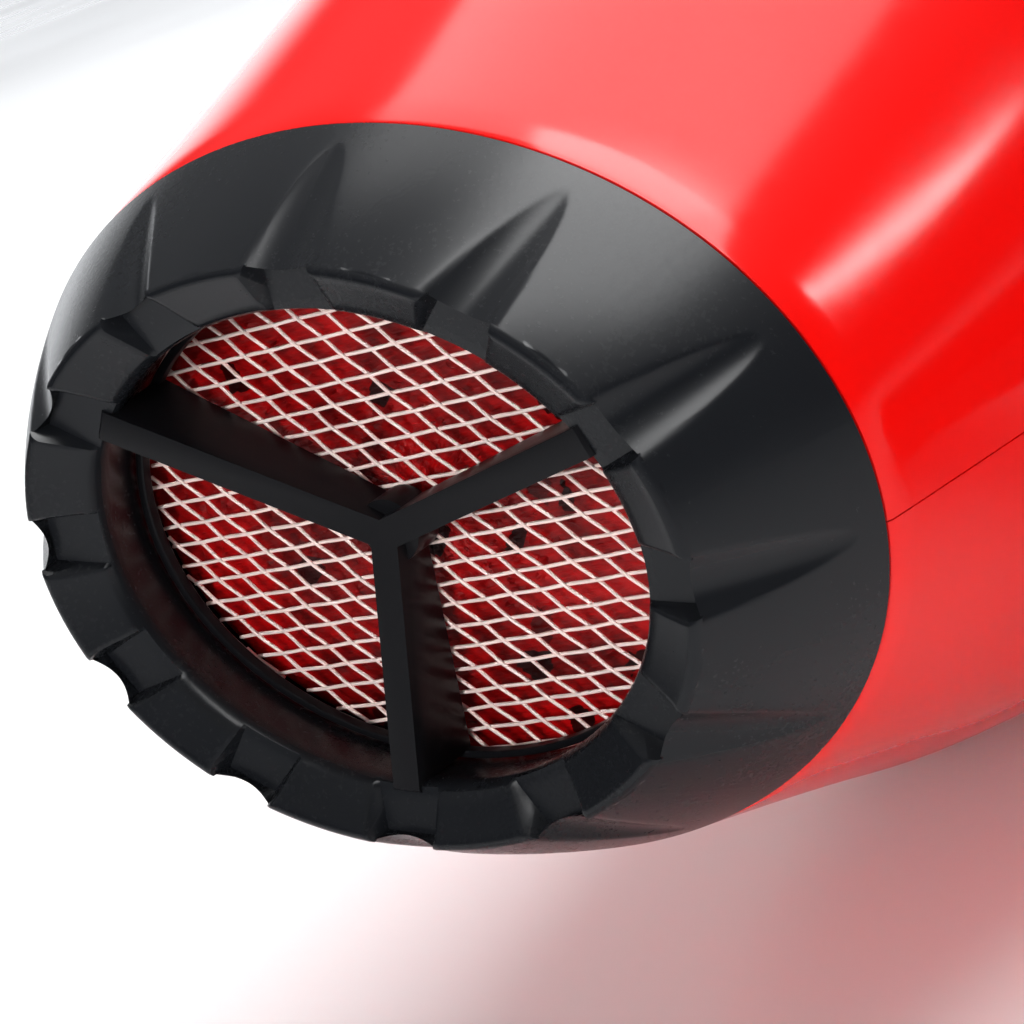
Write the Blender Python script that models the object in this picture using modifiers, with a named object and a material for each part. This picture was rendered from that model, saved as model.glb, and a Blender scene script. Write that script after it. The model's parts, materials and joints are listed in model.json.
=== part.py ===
"""Handheld pet dryer: oval rear intake cap, round barrel, side handle and outlet nozzle.

The dryer lies on its side. Inside the tilted frame the barrel runs along Y, the air intake
looks towards -Y and the handle points along +X. Lists of points are in millimetres.
"""
import math

import bmesh
import bpy
from mathutils import Matrix, Vector

MM = 0.001

# ---- driving dimensions (millimetres, degrees) -------------------------------------------
BARREL_RADIUS = 46.4
WALL = 2.0
GAP = 0.3
OVAL = 0.78
NOTCHES = 12
SPOKE_NOTCHES = (1, 5, 9)
HANDLE_Y = 88.0
HANDLE_END = 150.0
HANDLE_END_HALF = 17.0
MESH_PITCH = 4.4
MESH_TURN = 28.0
BLADES = 9
SEGMENTS = 44
# middle of the overall outline, so the origin ends up under the product
CENTRE_X = 59.37
CENTRE_Y = 119.45

# barrel outline: distance along the barrel, half width, half height
BARREL = (
    (9.1, 34.3, 26.8), (20.0, 36.3, 30.5), (31.0, 38.2, 34.4), (42.0, 40.0, 38.4),
    (53.0, 41.8, 41.4), (64.0, 43.6, 43.6), (76.0, 45.3, 45.3),
    (90.0, BARREL_RADIUS, BARREL_RADIUS), (114.0, BARREL_RADIUS, BARREL_RADIUS),
    (130.0, 45.6, 45.6), (148.0, 43.4, 43.4), (164.0, 40.2, 40.2), (178.0, 36.4, 36.4),
    (186.0, 34.2, 34.2),
)
# handle outline: distance from the barrel axis, half thickness, half width
HANDLE = (
    (30.0, 20.0, 25.0), (50.0, 18.5, 22.0), (70.0, 17.6, 19.8), (110.0, 17.2, 19.0),
    (140.0, 18.0, 20.0), (HANDLE_END, HANDLE_END_HALF, 19.0),
)
SCREWS = ((64.0, 80.0), (100.0, 80.0), (138.0, 80.0))

PALETTE = {
    "red_gloss": ((0.62, 0.008, 0.006), 0.16, 0.0),
    "black_gloss": ((0.010, 0.010, 0.012), 0.18, 0.0),
    "black_matte": ((0.020, 0.020, 0.022), 0.55, 0.0),
    "copper_wire": ((0.80, 0.50, 0.42), 0.25, 1.0),
    "red_foam": ((0.28, 0.010, 0.012), 0.85, 0.0),
    "steel": ((0.55, 0.55, 0.56), 0.30, 1.0),
    "brass": ((0.70, 0.50, 0.22), 0.32, 1.0),
    "mica": ((0.62, 0.55, 0.42), 0.60, 0.0),
    "white_plastic": ((0.80, 0.80, 0.78), 0.40, 0.0),
    "board_green": ((0.03, 0.16, 0.06), 0.50, 0.0),
    "rubber": ((0.015, 0.015, 0.015), 0.75, 0.0),
}


# ---- scene and helpers ---------------------------------------------------------------------
def clear_scene():
    for obj in list(bpy.data.objects):
        bpy.data.objects.remove(obj, do_unlink=True)


def make_collection(name):
    collection = bpy.data.collections.new(name)
    bpy.context.scene.collection.children.link(collection)
    return collection


def make_materials():
    made = {}
    for name, (colour, roughness, metallic) in PALETTE.items():
        material = bpy.data.materials.new(name)
        material.use_nodes = True
        shader = material.node_tree.nodes["Principled BSDF"]
        shader.inputs["Base Color"].default_value = (*colour, 1.0)
        shader.inputs["Roughness"].default_value = roughness
        shader.inputs["Metallic"].default_value = metallic
        made[name] = material
    return made


clear_scene()
PARTS = make_collection("pet_dryer")
CUTTERS = make_collection("cutters")
MATERIALS = make_materials()


def empty(name, parent=None, location=(0, 0, 0), turn=(0, 0, 0), scale=(1, 1, 1)):
    obj = bpy.data.objects.new(name, None)
    PARTS.objects.link(obj)
    obj.parent = parent
    obj.location = [value * MM for value in location]
    obj.rotation_euler = [math.radians(value) for value in turn]
    obj.scale = scale
    return obj


def place(obj, finish, parent, location, turn):
    """Link a part into the product, or a tool shape (finish None) into the cutters."""
    if finish is None:
        CUTTERS.objects.link(obj)
        obj.hide_render = True
        obj.display_type = "WIRE"
    else:
        PARTS.objects.link(obj)
        obj.data.materials.append(MATERIALS[finish])
    obj.parent = parent
    obj.location = [value * MM for value in location]
    obj.rotation_euler = [math.radians(value) for value in turn]
    return obj


def from_bmesh(name, bm, finish, parent, location=(0, 0, 0), turn=(0, 0, 0)):
    bmesh.ops.recalc_face_normals(bm, faces=bm.faces)
    mesh = bpy.data.meshes.new(name)
    bm.to_mesh(mesh)
    bm.free()
    return place(bpy.data.objects.new(name, mesh), finish, parent, location, turn)


def box(name, size, location, finish, parent, turn=(0, 0, 0)):
    bm = bmesh.new()
    bmesh.ops.create_cube(bm, size=1.0)
    bmesh.ops.scale(bm, vec=[value * MM for value in size], verts=bm.verts)
    return from_bmesh(name, bm, finish, parent, location, turn)


def rod(name, radius, length, location, axis, finish, parent, end_radius=None, segments=20):
    """Round bar centred on a point, lying along a direction."""
    bm = bmesh.new()
    tip = radius if end_radius is None else end_radius
    bmesh.ops.create_cone(bm, cap_ends=True, segments=segments, radius1=radius * MM,
                          radius2=tip * MM, depth=length * MM)
    aim = Vector(axis).to_track_quat("Z", "Y").to_matrix().to_4x4()
    bmesh.ops.transform(bm, matrix=aim, verts=bm.verts)
    return from_bmesh(name, bm, finish, parent, location)


def turned(name, profile, finish, parent, location=(0, 0, 0), turn=(-90, 0, 0), steps=SEGMENTS,
           closed=True):
    """Lathe a (radius, distance) outline, listed along its outer side first."""
    points = [(radius * MM, 0.0, height * MM) for radius, height in reversed(profile)]
    count = len(points)
    edges = [(i, i + 1) for i in range(count - 1)]
    if closed:
        edges.append((count - 1, 0))
    mesh = bpy.data.meshes.new(name)
    mesh.from_pydata(points, edges, [])
    obj = place(bpy.data.objects.new(name, mesh), finish, parent, location, turn)
    screw = obj.modifiers.new("turn", "SCREW")
    screw.steps = steps
    screw.render_steps = steps
    screw.use_merge_vertices = True
    screw.merge_threshold = 0.00001
    return obj


def tube(name, inner, outer, start, end, finish, parent, steps=36):
    profile = ((outer, start), (outer, end), (inner, end), (inner, start))
    return turned(name, profile, finish, parent, steps=steps)


def oval_point(half_x, half_y, power, angle):
    c = math.cos(angle)
    s = math.sin(angle)
    x = half_x * math.copysign(abs(c) ** (2.0 / power), c)
    y = half_y * math.copysign(abs(s) ** (2.0 / power), s)
    return x, y


def lofted(name, sections, finish, parent, location=(0, 0, 0), turn=(-90, 0, 0), grow=0.0,
           segments=SEGMENTS):
    """Closed body through oval sections (distance, half x, half y, optional squareness)."""
    bm = bmesh.new()
    rings = []
    for section in sections:
        distance, half_x, half_y = section[:3]
        power = section[3] if len(section) > 3 else 2.0
        ring = []
        for index in range(segments):
            angle = 2.0 * math.pi * index / segments
            x, y = oval_point(half_x + grow, half_y + grow, power, angle)
            ring.append(bm.verts.new((x * MM, y * MM, distance * MM)))
        rings.append(ring)
    for lower, upper in zip(rings, rings[1:]):
        for index in range(segments):
            after = (index + 1) % segments
            bm.faces.new((lower[index], lower[after], upper[after], upper[index]))
    bm.faces.new(rings[0])
    bm.faces.new(rings[-1])
    return from_bmesh(name, bm, finish, parent, location, turn)


def prism(name, outline, thickness, finish, parent, location=(0, 0, 0), turn=(0, 0, 0)):
    """Flat outline in X and Y, thickened evenly to both sides along Z."""
    bm = bmesh.new()
    half = thickness * MM / 2
    corners = [bm.verts.new((x * MM, y * MM, -half)) for x, y in outline]
    face = bm.faces.new(corners)
    grown = bmesh.ops.extrude_face_region(bm, geom=[face])
    moved = [item for item in grown["geom"] if isinstance(item, bmesh.types.BMVert)]
    bmesh.ops.translate(bm, vec=(0, 0, 2 * half), verts=moved)
    return from_bmesh(name, bm, finish, parent, location, turn)


def wire(name, points, radius, finish, parent, location=(0, 0, 0), resolution=2):
    curve = bpy.data.curves.new(name, "CURVE")
    curve.dimensions = "3D"
    curve.bevel_depth = radius * MM
    curve.bevel_resolution = resolution
    curve.use_fill_caps = True
    spline = curve.splines.new("POLY")
    spline.points.add(len(points) - 1)
    for item, point in zip(spline.points, points):
        item.co = (point[0] * MM, point[1] * MM, point[2] * MM, 1.0)
    return place(bpy.data.objects.new(name, curve), finish, parent, location, (0, 0, 0))


def combine(obj, other, operation):
    modifier = obj.modifiers.new(operation.lower() + "_" + other.name, "BOOLEAN")
    modifier.operation = operation
    modifier.solver = "EXACT"
    modifier.object = other
    return obj


def cut(obj, other):
    return combine(obj, other, "DIFFERENCE")


def fuse(obj, other):
    return combine(obj, other, "UNION")


def soften(obj, width, segments=2):
    bevel = obj.modifiers.new("soft_edges", "BEVEL")
    bevel.width = width * MM
    bevel.segments = segments
    bevel.limit_method = "ANGLE"
    bevel.angle_limit = math.radians(40)
    return obj


def helix(radius, start, end, turns, per_turn):
    count = int(turns * per_turn)
    points = []
    for index in range(count + 1):
        angle = 2.0 * math.pi * index / per_turn
        height = start + (end - start) * index / count
        points.append((radius * math.cos(angle), height, radius * math.sin(angle)))
    return points


# ---- rear intake cap -----------------------------------------------------------------------
def build_intake_ring(oval):
    """Black cone with raised rim blocks; every notch runs out into a tapering scoop."""
    profile = (
        (25.6, -2.3), (26.9, -1.6), (30.0, 3.1), (32.6, 6.8), (34.2, 8.8), (31.0, 8.8),
        (31.0, 15.0), (29.6, 15.0), (29.6, 10.4), (27.8, 7.0), (27.0, 7.0), (27.0, 15.0),
        (25.2, 15.0), (25.2, 6.6), (23.2, 6.6), (21.8, 0.6), (22.4, -0.6),
    )
    ring = turned("intake_ring", profile, "black_gloss", oval, steps=48)
    scoop_start = Vector((25.7, -2.6, 0.0))
    scoop_end = Vector((33.0, 7.6, 0.0))
    direction = scoop_end - scoop_start
    for index in range(NOTCHES):
        angle = index * 360.0 / NOTCHES
        spot = empty("notch_frame_%02d" % index, oval, turn=(0, -angle, 0))
        pocket = box("notch_%02d" % index, (9.0, 6.0, 4.5), (23.76, -3.26, 0), None, spot,
                     turn=(0, 0, -7.4))
        scoop = rod("scoop_%02d" % index, 2.3, direction.length,
                    (scoop_start + scoop_end) / 2, direction, None, spot,
                    end_radius=0.08, segments=10)
        cut(ring, pocket)
        cut(ring, scoop)
    return ring


def build_spoke_grille(oval):
    """Three deep bars dipping from the rim to the hub, tied by a thin rear rim."""
    outline = ((-0.7, 3.05), (21.4, -0.5), (21.4, 6.6), (-0.7, 6.6))
    grille = tube("spoke_grille", 21.0, 22.3, 5.2, 6.35, "black_gloss", oval, steps=32)
    for index in SPOKE_NOTCHES:
        angle = index * 360.0 / NOTCHES
        fuse(grille, prism("spoke_%d" % index, outline, 2.1, None, oval, turn=(0, -angle, 0)))
    fuse(grille, rod("spoke_hub", 2.1, 3.1, (0, 4.8, 0), (0, 1, 0), None, oval))
    return grille


def build_wire_mesh(cap):
    """Woven wire screen as a thin plate with a grid of square openings and a solid edge."""
    disc = ((6.9, 24.6, 24.6 * OVAL), (7.5, 24.6, 24.6 * OVAL))
    screen = lofted("wire_mesh", disc, "copper_wire", cap, segments=40)
    half_count = 6
    start = -half_count * MESH_PITCH
    frame = empty("mesh_frame", cap, location=(0, 7.2, 0), turn=(0, MESH_TURN, 0))
    hole = box("mesh_holes", (MESH_PITCH - 0.8, 4.0, MESH_PITCH - 0.8), (start, 0, start),
               None, frame)
    for label, offset in (("across", (MESH_PITCH, 0, 0)), ("up", (0, 0, MESH_PITCH))):
        array = hole.modifiers.new(label, "ARRAY")
        array.count = 2 * half_count + 1
        array.use_relative_offset = False
        array.use_constant_offset = True
        array.constant_offset_displace = [value * MM for value in offset]
    cut(screen, hole)
    rim = lofted("mesh_rim", disc, None, cap, segments=40)
    hollow = ((5.0, 23.2, 23.2 * OVAL), (9.0, 23.2, 23.2 * OVAL))
    cut(rim, lofted("mesh_rim_hollow", hollow, None, cap, segments=40))
    fuse(screen, rim)
    return screen


def build_intake_cap(body):
    cap = empty("intake_cap", body)
    oval = empty("oval_frame", cap, scale=(1, 1, OVAL))
    build_intake_ring(oval)
    build_spoke_grille(oval)
    build_wire_mesh(cap)
    foam = ((0.0, 7.9), (24.6, 7.9), (24.6, 11.5), (0.0, 11.5))
    turned("foam_filter", foam, "red_foam", oval, closed=False, steps=36)
    tube("mesh_retainer", 21.9, 24.8, 11.8, 13.6, "black_matte", oval, steps=36)


# ---- housing -------------------------------------------------------------------------------
def housing_tools(body):
    inner = [(BARREL[0][0] - 2.0, 33.9, 26.4)] + list(BARREL) + [(188.0, 33.6, 33.6)]
    tools = {
        "grip": lofted("grip_outside", HANDLE, None, body, (0, HANDLE_Y, 0), (0, 90, 0),
                       segments=32),
        "hollow": lofted("barrel_hollow", inner, None, body, grow=-WALL),
    }
    bore = list(HANDLE) + [(HANDLE_END + 3.0, HANDLE_END_HALF, 19.0)]
    tools["grip_hollow"] = lofted("grip_hollow", bore, None, body, (0, HANDLE_Y, 0),
                                  (0, 90, 0), grow=-2.2, segments=32)
    tools["window"] = box("switch_window", (56.6, 14.0, 13.6), (90.0, 106.0, 0), None, body)
    return tools


def build_housing_half(name, side, tools, body):
    """One moulded half: side +1 is the upper one, side -1 takes the screw heads."""
    shell = lofted(name, BARREL, "red_gloss", body)
    fuse(shell, tools["grip"])
    cut(shell, tools["hollow"])
    cut(shell, tools["grip_hollow"])
    away = box(name + "_other_side", (520, 520, 200), (60, 90, side * (0.15 - 100.0)), None,
               body)
    cut(shell, away)
    cut(shell, tools["window"])
    for index, (x, y) in enumerate(SCREWS):
        tag = "%s_%d" % (name, index)
        boss = rod(tag + "_boss", 4.4, 12.45, (x, y, side * 6.375), (0, 0, 1), None, body,
                   segments=14)
        fuse(shell, boss)
        if side > 0:
            cut(shell, rod(tag + "_pilot", 1.8, 12.0, (x, y, 3.0), (0, 0, 1), None, body))
        else:
            cut(shell, rod(tag + "_bore", 1.8, 14.0, (x, y, -5.0), (0, 0, 1), None, body))
            cut(shell, rod(tag + "_sink", 3.3, 20.0, (x, y, -15.0), (0, 0, 1), None, body))
    return shell


def build_screws(body):
    for index, (x, y) in enumerate(SCREWS):
        profile = ((2.9, -6.9), (2.9, -5.3), (1.4, -5.3), (1.4, 7.2), (0.0, 7.2))
        outline = ((0.0, -6.9),) + profile
        turned("housing_screw_%d" % (index + 1), outline, "steel", body, (x, y, 0), (0, 0, 0),
               steps=20, closed=False)


# ---- fan, motor and heater -----------------------------------------------------------------
def build_fan_shroud(body):
    shroud = tube("fan_shroud", 36.2, 37.8, 70.0, 112.0, "black_matte", body)
    fuse(shroud, tube("shroud_core", 14.9, 16.5, 97.0, 112.0, None, body, steps=36))
    for index in range(5):
        arm = empty("vane_frame_%d" % index, body, turn=(0, index * 72.0, 0))
        fuse(shroud, box("vane_%d" % index, (21.2, 11.0, 1.5), (26.4, 104.5, 0), None, arm))
    for index in range(4):
        arm = empty("rib_frame_%d" % index, body, turn=(0, 45.0 + index * 90.0, 0))
        fuse(shroud, box("rib_%d" % index, (6.4, 20.0, 2.0), (40.4, 95.0, 0), None, arm))
    return shroud


def build_impeller(body):
    rotor = empty("fan_axis", body, location=(0, 84.0, 0))
    hub_profile = ((6.0, -9.0), (10.0, -6.5), (12.0, 0.0), (12.0, 8.0), (1.9, 8.0), (1.9, -9.0))
    impeller = turned("impeller", hub_profile, "black_matte", rotor, steps=27)
    for index in range(BLADES):
        arm = empty("blade_frame_%d" % index, rotor, turn=(0, index * 360.0 / BLADES, 0))
        blade = box("blade_%d" % index, (24.2, 12.0, 1.2), (22.6, 0.5, 0), None, arm,
                    turn=(38, 0, 0))
        fuse(impeller, blade)
    rod("motor_shaft", 1.6, 61.0, (0, 18.5, 0), (0, 1, 0), "steel", rotor)
    core = ((10.4, 17.0), (10.4, 37.0), (1.9, 37.0), (1.9, 17.0))
    turned("rotor_core", core, "steel", rotor, steps=32)


def build_motor(body):
    can = ((14.6, 94.0), (14.6, 126.0), (13.4, 126.0), (13.4, 95.8), (5.2, 95.8), (5.2, 94.0))
    turned("motor_can", can, "steel", body, steps=40)
    tube("motor_magnet", 11.4, 13.1, 99.0, 122.0, "black_matte", body, steps=36)
    tube("motor_end_bell", 5.2, 14.6, 126.3, 129.0, "white_plastic", body, steps=40)
    tube("front_bearing", 1.9, 4.9, 93.4, 96.0, "brass", body, steps=24)
    tube("rear_bearing", 1.9, 4.9, 126.4, 129.2, "brass", body, steps=24)


def build_heater(body):
    cross = box("heater_frame", (52.0, 38.0, 0.8), (0, 158.0, 0), "mica", body)
    fuse(cross, box("heater_plate", (0.8, 38.0, 52.0), (0, 158.0, 0), None, body))
    wire("heater_coil", helix(27.1, 141.5, 174.5, 4, 18), 0.55, "steel", body, resolution=1)
    tube("mica_tube", 28.3, 29.0, 137.0, 178.0, "mica", body)
    rod("thermostat", 5.0, 4.0, (13, 152, 13), (0, 1, 0), "steel", body)
    rod("thermal_fuse", 1.5, 14.0, (-12, 152, 10), (0, 1, 0), "white_plastic", body,
        segments=14)


# ---- outlet and nozzle -----------------------------------------------------------------------
def build_outlet(body):
    sleeve = ((31.8, 170.0), (31.8, 197.4), (31.2, 198.0), (30.2, 198.0), (30.2, 170.0))
    turned("outlet_sleeve", sleeve, "black_matte", body, steps=40)
    grille = turned("outlet_grille", ((0, 192.0), (29.8, 192.0), (29.8, 194.5), (0, 194.5)),
                    "black_matte", body, closed=False, steps=40)
    slot = box("grille_slots", (70.0, 8.0, 4.4), (0, 193.0, -22.4), None, body)
    array = slot.modifiers.new("rows", "ARRAY")
    array.count = 8
    array.use_relative_offset = False
    array.use_constant_offset = True
    array.constant_offset_displace = (0, 0, 6.4 * MM)
    cut(grille, slot)
    fuse(grille, tube("grille_rim", 27.0, 29.8, 192.0, 194.5, None, body, steps=40))
    fuse(grille, box("grille_post", (2.2, 2.5, 56.0), (0, 193.25, 0), None, body))


def build_nozzle(body):
    slide = empty("nozzle_axis", body, location=(0, 187.2, 0))
    collar = ((34.6, 0.0), (35.4, 0.8), (35.4, 11.4), (34.8, 12.0), (32.2, 12.0), (32.2, 0.0))
    turned("nozzle_collar", collar, "black_gloss", slide, steps=40)
    outside = ((12.3, 34.6, 34.6), (15.0, 34.6, 34.6), (27.0, 35.2, 25.0, 2.3),
               (40.0, 36.6, 12.5, 3.0), (54.0, 37.6, 7.0, 4.0))
    hollow = ((11.0, 32.6, 32.6), (15.0, 32.6, 32.6), (27.0, 33.3, 23.1, 2.3),
              (40.0, 34.9, 10.8, 3.0), (56.0, 36.1, 5.4, 4.0))
    nozzle = lofted("concentrator_nozzle", outside, "black_gloss", slide, segments=40)
    cut(nozzle, lofted("nozzle_hollow", hollow, None, slide, segments=40))


# ---- handle contents ---------------------------------------------------------------------------
def build_rocker(name, x, body):
    """Rocker on a pin across the handle; its origin is the pin axis."""
    pin = empty(name + "_pin", body, location=(x, 106.0, 0))
    outline = ((-7.4, 3.4), (0.0, 2.2), (7.4, 3.4), (7.4, -1.4), (2.2, -3.0), (-2.2, -3.0),
               (-7.4, -1.4))
    soften(prism(name, outline, 8.8, "black_gloss", pin), 0.4, 1)


def build_switches(body):
    bezel = box("switch_bezel", (56.0, 3.4, 13.0), (90.0, 106.4, 0), "black_matte", body)
    for x in (72.0, 91.0):
        cut(bezel, box("rocker_hole_%d" % x, (16.0, 9.0, 9.6), (x, 106.4, 0), None, body))
    cut(bezel, rod("button_hole", 3.9, 9.0, (109.0, 106.4, 0), (0, 1, 0), None, body))
    build_rocker("speed_rocker", 72.0, body)
    build_rocker("heat_rocker", 91.0, body)
    for name, x in (("speed_switch_body", 72.0), ("heat_switch_body", 91.0)):
        box(name, (17.0, 11.0, 10.0), (x, 96.0, 0), "black_matte", body)
    press = empty("cool_button_axis", body, location=(109.0, 106.0, 0))
    outline = ((3.6, -2.8), (3.6, 3.2), (3.2, 3.6), (0.0, 3.6), (0.0, 2.4), (2.9, 2.4), (2.9, -2.8))
    turned("cool_button", outline, "black_gloss", press, steps=20)
    spring = helix(2.2, 96.9, 105.0, 4, 9)
    wire("button_spring", spring, 0.35, "steel", body, location=(109.0, 0, 0), resolution=1)
    box("cool_switch_body", (11.0, 7.0, 9.0), (109.0, 92.8, 0), "black_matte", body)


def build_handle_end(body):
    plate = ((0.0, 16.3, 18.6), (2.0, 16.3, 18.6), (3.4, 14.8, 17.1))
    cap = lofted("handle_end_cap", plate, "black_gloss", body,
                 (HANDLE_END + GAP, HANDLE_Y, 0), (0, 90, 0), segments=32)
    cut(cap, rod("gland_hole", 5.0, 20.0, (HANDLE_END, HANDLE_Y, 0), (1, 0, 0), None, body))
    gland = ((4.6, -4.0), (4.6, 4.2), (6.2, 4.2), (6.2, 5.8), (5.2, 6.4), (4.4, 12.0),
             (3.0, 12.0), (3.0, -4.0))
    turned("cord_gland", gland, "rubber", body, (HANDLE_END, HANDLE_Y, 0), (0, 90, 0),
           steps=24)
    loop = []
    for index in range(9):
        angle = math.pi * index / 8
        loop.append((5.0 + 6.5 * math.sin(angle), 3.9 * math.cos(angle), 0.0))
    points = [(0.0, 3.9, 0.0)] + loop + [(0.0, -3.9, 0.0)]
    wire("hanging_loop", points, 1.4, "rubber", body,
         location=(HANDLE_END + 5.5, HANDLE_Y - 12.2, 0))


def build_handle_contents(body):
    build_switches(body)
    box("control_board", (58.0, 1.2, 17.0), (88.0, 87.0, 0), "board_green", body)
    rod("capacitor", 4.0, 13.0, (127.0, 92.0, 0), (1, 0, 0), "white_plastic", body)
    build_handle_end(body)


def resting_tilt():
    """Angle that lets the barrel and the handle end touch the table together."""
    reach = math.hypot(HANDLE_END, HANDLE_END_HALF)
    lift = math.asin(BARREL_RADIUS / reach)
    return math.degrees(lift - math.atan(HANDLE_END_HALF / HANDLE_END))


def build_dryer():
    body = empty("dryer_frame", location=(-CENTRE_X, -CENTRE_Y, BARREL_RADIUS),
                 turn=(0, resting_tilt(), 0))
    build_intake_cap(body)
    tools = housing_tools(body)
    build_housing_half("housing_upper", 1, tools, body)
    build_housing_half("housing_lower", -1, tools, body)
    build_screws(body)
    build_fan_shroud(body)
    build_impeller(body)
    build_motor(body)
    build_heater(body)
    build_outlet(body)
    build_nozzle(body)
    build_handle_contents(body)


build_dryer()
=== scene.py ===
"""Looks of the handheld pet dryer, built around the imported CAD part.

Shapes are made in the dryer's own frame (barrel along Y, intake towards -Y, handle towards +X,
millimetres) and carried into the row frame by the tilt that the joints record.
"""

import json
import math

import bmesh
import bpy
import numpy as np
from mathutils import Matrix, Vector


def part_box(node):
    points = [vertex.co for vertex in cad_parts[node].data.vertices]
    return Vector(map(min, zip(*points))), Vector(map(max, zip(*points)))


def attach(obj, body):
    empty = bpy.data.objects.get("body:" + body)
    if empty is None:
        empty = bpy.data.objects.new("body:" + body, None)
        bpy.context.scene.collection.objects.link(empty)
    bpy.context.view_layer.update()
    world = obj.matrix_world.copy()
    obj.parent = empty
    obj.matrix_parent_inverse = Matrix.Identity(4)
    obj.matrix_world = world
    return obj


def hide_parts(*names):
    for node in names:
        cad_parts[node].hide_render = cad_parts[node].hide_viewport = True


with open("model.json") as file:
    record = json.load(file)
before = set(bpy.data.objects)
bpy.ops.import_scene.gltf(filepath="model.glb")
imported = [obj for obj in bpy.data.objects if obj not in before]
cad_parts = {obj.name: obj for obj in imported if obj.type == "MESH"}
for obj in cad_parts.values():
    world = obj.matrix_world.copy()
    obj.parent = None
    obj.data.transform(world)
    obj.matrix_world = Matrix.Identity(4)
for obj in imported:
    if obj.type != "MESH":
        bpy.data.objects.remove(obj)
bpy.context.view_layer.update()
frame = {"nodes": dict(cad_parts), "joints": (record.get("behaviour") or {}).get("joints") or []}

MM = 0.001
RIM_CREST = 2.3
OVAL = 0.78
NOTCHES = 12
SPOKE_NOTCHES = (1, 5, 9)
HANDLE_Y = 88.0
WALL = 2.0
BACKDROP = (-0.62, 0.78, -0.50)

# ---- the dryer's own frame, from the joints and the nodes ------------------------------------
JOINTS = {joint["name"]: joint for joint in frame["joints"]}
FAN = Vector(JOINTS["fan_spin"]["pos_m"])
ACROSS = Vector(JOINTS["speed_rocker_tilt"]["axis"])
TILT = math.atan2(ACROSS.x, ACROSS.z)
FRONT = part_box("intake_ring")[0].y + RIM_CREST * MM
DRYER = Matrix.Translation((FAN.x, FRONT, FAN.z)) @ Matrix.Rotation(TILT, 4, "Y")
TO_ROW = DRYER @ Matrix.Scale(MM, 4)


# ---- mesh helpers ----------------------------------------------------------------------------
def finish_mesh(name, bm, material, smooth_angle=35.0):
    """Carry a millimetre mesh into the row frame and link it."""
    bmesh.ops.recalc_face_normals(bm, faces=bm.faces)
    mesh = bpy.data.meshes.new(name)
    bm.to_mesh(mesh)
    bm.free()
    return link_mesh(name, mesh, material, smooth_angle)


def link_mesh(name, mesh, material, smooth_angle=35.0):
    mesh.transform(TO_ROW)
    mesh.materials.clear()
    if material is not None:
        mesh.materials.append(material)
    obj = bpy.data.objects.new(name, mesh)
    bpy.context.scene.collection.objects.link(obj)
    smooth(obj, smooth_angle)
    return obj


def smooth(obj, angle=35.0):
    mesh = obj.data
    mesh.polygons.foreach_set("use_smooth", [True] * len(mesh.polygons))
    bm = bmesh.new()
    bm.from_mesh(mesh)
    limit = math.radians(angle)
    for edge in bm.edges:
        if len(edge.link_faces) == 2:
            edge.smooth = edge.calc_face_angle(0.0) < limit
    bm.to_mesh(mesh)
    bm.free()


def grid_mesh(bm, rows, wrap_rows=True, wrap_columns=True):
    """Quads over rows of points; every row has the same number of points."""
    made = [[bm.verts.new(point) for point in row] for row in rows]
    count = len(made)
    width = len(made[0])
    for i in range(count if wrap_rows else count - 1):
        lower = made[i]
        upper = made[(i + 1) % count]
        for j in range(width if wrap_columns else width - 1):
            k = (j + 1) % width
            bm.faces.new((lower[j], lower[k], upper[k], upper[j]))
    return made


def arc_points(centre, radius, start, end, count):
    """Points on a circle arc in (radius, distance) space, angles in degrees."""
    points = []
    for index in range(count):
        angle = math.radians(start + (end - start) * index / (count - 1))
        points.append((centre[0] + radius * math.cos(angle),
                       centre[1] + radius * math.sin(angle)))
    return points


def rounded(profile, radii, steps=4):
    """Round the corners of a closed (radius, distance) outline."""
    points = [Vector(point) for point in profile]
    count = len(points)
    result = []
    for index, corner in enumerate(points):
        radius = radii[index] if isinstance(radii, (list, tuple)) else radii
        before = points[index - 1] - corner
        after = points[(index + 1) % count] - corner
        reach = min(radius, before.length * 0.45, after.length * 0.45)
        if reach < 0.02:
            result.append(tuple(corner))
            continue
        a = corner + before.normalized() * reach
        b = corner + after.normalized() * reach
        for step in range(steps + 1):
            t = step / steps
            point = a * (1 - t) ** 2 + corner * 2 * t * (1 - t) + b * t ** 2
            result.append(tuple(point))
    return result


def turned(name, profile, material, steps=128, axis="Y", origin=(0, 0, 0), oval=1.0,
           soft=0.25, smooth_angle=35.0):
    """Closed (radius, distance) outline lathed round the barrel axis or the handle axis."""
    outline = rounded(profile, soft)
    bm = bmesh.new()
    rows = []
    for radius, distance in outline:
        row = []
        for index in range(steps):
            angle = 2 * math.pi * index / steps
            a = radius * math.cos(angle)
            b = radius * math.sin(angle) * oval
            local = {"Y": (a, distance, b), "X": (distance, a, b), "Z": (a, b, distance)}[axis]
            row.append([local[k] + origin[k] for k in range(3)])
        rows.append(row)
    grid_mesh(bm, rows)
    return finish_mesh(name, bm, material, smooth_angle)


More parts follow.
